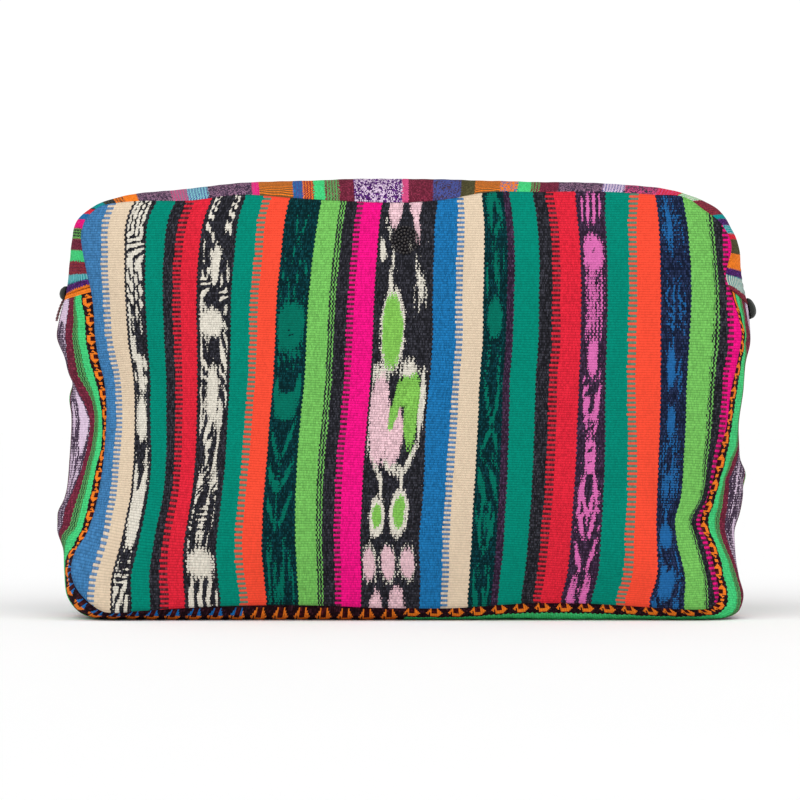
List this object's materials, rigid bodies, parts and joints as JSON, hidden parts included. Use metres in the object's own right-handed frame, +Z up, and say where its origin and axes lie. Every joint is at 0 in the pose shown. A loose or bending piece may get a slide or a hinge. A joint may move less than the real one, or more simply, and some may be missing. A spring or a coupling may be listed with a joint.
{
  "type": "wet bag",
  "caption": "Soft boxy wet bag of striped hand-woven cloth: pillowed front and back panels, a gusset round the sides and base, and a zip over the top between two end tabs.",
  "frame": {"origin": "the middle of the base on the floor", "axes": "+X to the right seen from the front, +Y from the front panel to the back panel, +Z up"},
  "size_m": [0.3103, 0.109, 0.191],
  "materials": {
    "panel_cloth": "warp-faced hand-woven cotton in blue, cream, green, red, orange, light green, magenta and black stripes with ikat bands",
    "gusset_cloth": "the same cloth cut lengthwise: mint, maroon and lilac ikat stripes beside a figured orange and black edge stripe",
    "band_cloth": "striped hand-woven cotton with the stripes running across the band",
    "zip_tape": "black woven zip tape",
    "zip_coil": "black nylon coil",
    "slider_metal": "black lacquered zip slider",
    "pull_cord": "dark maroon twisted cotton",
    "tab_cloth": "very dark green folded cloth"
  },
  "bodies": {
    "root": {"front_panel": "panel_cloth", "back_panel": "panel_cloth", "side_gusset": "gusset_cloth", "zip_band_front": "band_cloth", "zip_band_back": "band_cloth", "zip_tape": "zip_tape", "zip_teeth": "zip_coil", "zip_slider": "slider_metal", "zip_pull": "pull_cord", "end_tab_left": "tab_cloth", "end_tab_right": "tab_cloth"}
  },
  "joints": []
}
